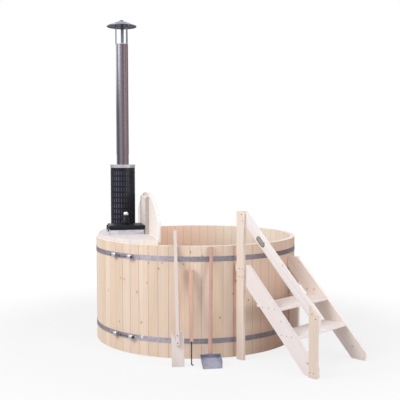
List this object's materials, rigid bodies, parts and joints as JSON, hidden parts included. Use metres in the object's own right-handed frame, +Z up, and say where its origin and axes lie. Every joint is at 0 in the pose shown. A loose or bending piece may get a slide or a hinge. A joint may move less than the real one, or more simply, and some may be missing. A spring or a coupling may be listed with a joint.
{
  "type": "wooden hot tub",
  "caption": "Round wood-fired hot tub of upright staves with steel hoops, a sunk stove behind an arched fence, chimney, bench, steps with a handrail, and leaning tools",
  "frame": {"origin": "on the ground, on the axis of the tub, at the underside of the middle joist", "axes": "+Z up along the tub's axis and the chimney, -Y towards the side where the tools lean, +X towards the steps' side"},
  "size_m": [2.5137, 2.7394, 3.1835],
  "materials": {
    "stave": "planed pine, pale and varied from stave to stave",
    "floor": "planed pine",
    "hoop": "galvanised strap",
    "cover": "planed pine, nearly white",
    "stove": "bare silvery sheet",
    "sooty_steel": "sooty plate",
    "rope": "heatproof rope",
    "insulation": "mineral board",
    "black": "heatproof black paint",
    "chrome": "bright ball",
    "stainless": "bright stainless sheet",
    "bench": "planed pine",
    "drain": "nickel-plated fittings",
    "lever": "red paint",
    "step_wood": "planed pine, nearly white",
    "plate": "plain oval plate",
    "screw": "zinc screws",
    "paddle_wood": "planed pine",
    "poker_wood": "salmon stain",
    "poker_steel": "dark steel",
    "shovel_wood": "pinkish red stain",
    "pan_steel": "galvanised sheet"
  },
  "bodies": {
    "tub": {"staves": "stave", "floor_boards": "floor", "floor_joists": "floor", "cover_cleats": "floor", "fence_rails": "floor", "top_hoop": "hoop", "bottom_hoop": "hoop", "hoop_lugs": "hoop", "hoop_bolts": "hoop", "hoop_nuts": "hoop", "cover_boards": "cover", "fence_boards": "cover", "fence_uprights": "cover", "stove_body": "stove", "lid_hinge_brackets": "stove", "lid_hinge_pins": "stove", "stove_feet": "sooty_steel", "stove_baffle": "sooty_steel", "stove_grate": "sooty_steel", "lid_seal": "rope", "guard_tube": "black", "lower_flue": "stainless", "upper_flue": "stainless", "flue_rivets": "stainless", "guard_ring": "stainless", "bench_seats": "bench", "bench_bearers": "bench", "bench_legs": "bench", "drain_strainer": "drain", "drain_elbow": "drain", "drain_nut": "drain", "drain_valve_body": "drain", "near_stringer": "step_wood", "far_stringer": "step_wood", "upper_tread": "step_wood", "lower_tread": "step_wood", "tall_post": "step_wood", "short_post": "step_wood", "rear_leg": "step_wood", "handrail": "step_wood", "handrail_plate": "plate", "step_screws": "screw"},
    "lid": {"lid_shell": "black", "lid_insulation": "insulation", "lid_hinge_ears": "black", "lid_handle_stem": "black", "lid_handle_ball": "chrome"},
    "drain_lever": {"drain_valve_ball": "drain", "drain_valve_lever": "lever"},
    "paddle": {"paddle_blade": "paddle_wood", "paddle_shaft": "paddle_wood", "paddle_screws": "screw"},
    "poker": {"poker_handle": "poker_wood", "poker_rod": "poker_steel"},
    "shovel": {"shovel_handle": "shovel_wood", "shovel_pan": "pan_steel"},
    "flue_cap": {"cap_sleeve": "stainless", "cap_straps": "stainless", "rain_cap": "stainless"}
  },
  "joints": [
    {"name": "lid_hinge", "type": "hinge", "parent": "tub", "child": "lid", "pos_m": [-0.86723, -0.21747, 1.066], "axis": [0.1908, -0.9816, 0], "range_deg": [0, 100]},
    {"name": "drain_lever_turn", "type": "hinge", "parent": "tub", "child": "drain_lever", "pos_m": [0, 1.0478, 0.09], "axis": [0, 0, 1], "range_deg": [0, 90]},
    {"name": "paddle_lift", "type": "slide", "parent": "tub", "child": "paddle", "axis": [0, -0.5, 0.866], "range_m": [0, 0.3]},
    {"name": "poker_lift", "type": "slide", "parent": "tub", "child": "poker", "axis": [0, -0.5, 0.866], "range_m": [0, 0.3]},
    {"name": "shovel_lift", "type": "slide", "parent": "tub", "child": "shovel", "axis": [0, -0.5, 0.866], "range_m": [0, 0.3]},
    {"name": "cap_lift", "type": "slide", "parent": "tub", "child": "flue_cap", "axis": [0, 0, 1], "range_m": [0, 0.2]}
  ]
}
